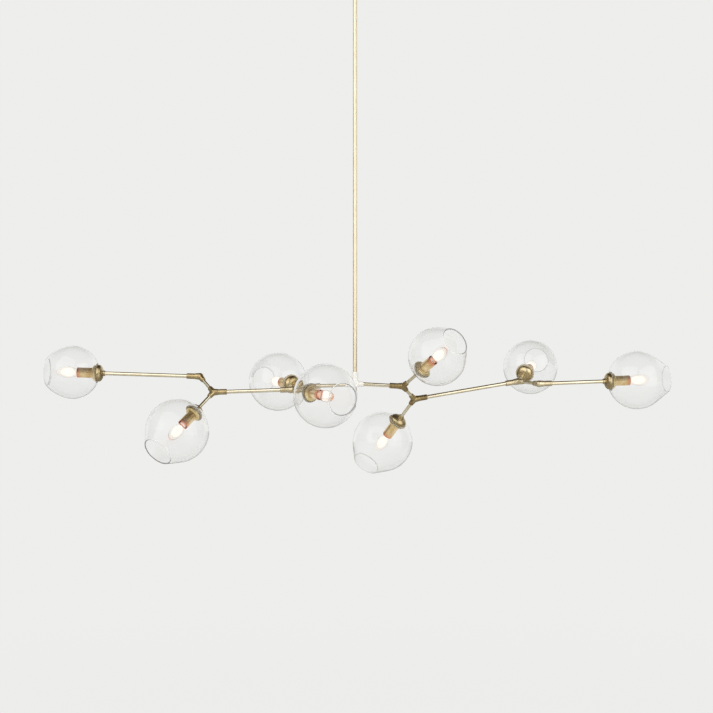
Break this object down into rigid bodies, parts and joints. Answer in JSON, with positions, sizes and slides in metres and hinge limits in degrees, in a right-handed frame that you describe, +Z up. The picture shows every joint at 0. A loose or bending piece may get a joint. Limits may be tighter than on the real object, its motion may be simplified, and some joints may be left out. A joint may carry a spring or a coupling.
{
  "type": "pendant light",
  "caption": "Branching brass pendant light: a rigid stem and hub carry forked, turnable arms with open blown-glass globes round candle-size bulbs",
  "frame": {"origin": "on the ceiling plane, at the middle of the ceiling bar and canopy", "axes": "+Z up into the ceiling, +X along the bar's slots towards the right-hand arm, +Y away from the viewer of the picture"},
  "size_m": [1.8055, 0.6616, 1.5048],
  "materials": {
    "brass": "brushed and lacquered",
    "globe_glass": "clear, hand blown",
    "bulb_glass": "frosted, lit",
    "holder_ceramic": "glazed",
    "bracket_steel": "zinc plated",
    "screw_steel": "blackened"
  },
  "bodies": {
    "ceiling": {"ceiling_bar": "bracket_steel", "canopy": "brass", "nipple": "bracket_steel", "locknut": "bracket_steel", "canopy_nut": "brass"},
    "swivel": {"swivel_yoke": "brass", "swivel_pin": "screw_steel"},
    "stem": {"swivel_tongue": "brass", "stem": "brass", "hub_tee": "brass", "right_inner_tube": "brass", "left_inner_tube": "brass"},
    "right_middle": {"right_inner_fork": "brass", "right_middle_fork": "brass", "right_middle_tube": "brass", "right_middle_rods": "brass", "right_middle_screws": "screw_steel", "right_inner_globe": "globe_glass", "right_middle_globe": "globe_glass", "right_middle_back_cups": "brass", "right_middle_clamp_rings": "brass", "right_middle_lampholders": "holder_ceramic", "right_middle_socket_covers": "brass", "right_middle_bulbs": "bulb_glass"},
    "right_end": {"right_end_fork": "brass", "right_elbow": "brass", "right_outer_tube": "brass", "right_end_rods": "brass", "right_end_screws": "screw_steel", "right_end_globe": "globe_glass", "right_tip_globe": "globe_glass", "right_end_back_cups": "brass", "right_end_clamp_rings": "brass", "right_end_lampholders": "holder_ceramic", "right_end_socket_covers": "brass", "right_end_bulbs": "bulb_glass"},
    "left_middle": {"left_inner_fork": "brass", "left_middle_fork": "brass", "left_middle_tube": "brass", "left_middle_rods": "brass", "left_middle_screws": "screw_steel", "left_inner_globe": "globe_glass", "left_middle_globe": "globe_glass", "left_middle_back_cups": "brass", "left_middle_clamp_rings": "brass", "left_middle_lampholders": "holder_ceramic", "left_middle_socket_covers": "brass", "left_middle_bulbs": "bulb_glass"},
    "left_end": {"left_end_fork": "brass", "left_elbow": "brass", "left_outer_tube": "brass", "left_end_rods": "brass", "left_end_screws": "screw_steel", "left_end_globe": "globe_glass", "left_tip_globe": "globe_glass", "left_end_back_cups": "brass", "left_end_clamp_rings": "brass", "left_end_lampholders": "holder_ceramic", "left_end_socket_covers": "brass", "left_end_bulbs": "bulb_glass"}
  },
  "joints": [
    {"name": "swivel_turn", "type": "hinge", "parent": "ceiling", "child": "swivel", "pos_m": [0, 0, -0.0483], "axis": [0, 0, 1], "range_deg": [-165, 165]},
    {"name": "stem_tilt", "type": "hinge", "parent": "swivel", "child": "stem", "pos_m": [0, 0, -0.0743], "axis": [0, 1, 0], "range_deg": [-20, 20]},
    {"name": "right_inner_turn", "type": "hinge", "parent": "stem", "child": "right_middle", "pos_m": [0.13681, 0, -1.24717], "axis": [0.9986, 0, -0.0523], "range_deg": [-40, 40]},
    {"name": "right_end_turn", "type": "hinge", "parent": "right_middle", "child": "right_end", "pos_m": [0.47638, 0.10817, -1.23148], "axis": [0.9665, 0.1966, 0.1653], "range_deg": [-90, 90]},
    {"name": "left_inner_turn", "type": "hinge", "parent": "stem", "child": "left_middle", "pos_m": [-0.13681, 0, -1.24717], "axis": [-0.9986, 0, -0.0523], "range_deg": [-40, 40]},
    {"name": "left_end_turn", "type": "hinge", "parent": "left_middle", "child": "left_end", "pos_m": [-0.39925, -0.05774, -1.26462], "axis": [-0.9994, -0.0028, -0.0332], "range_deg": [-90, 90]}
  ]
}
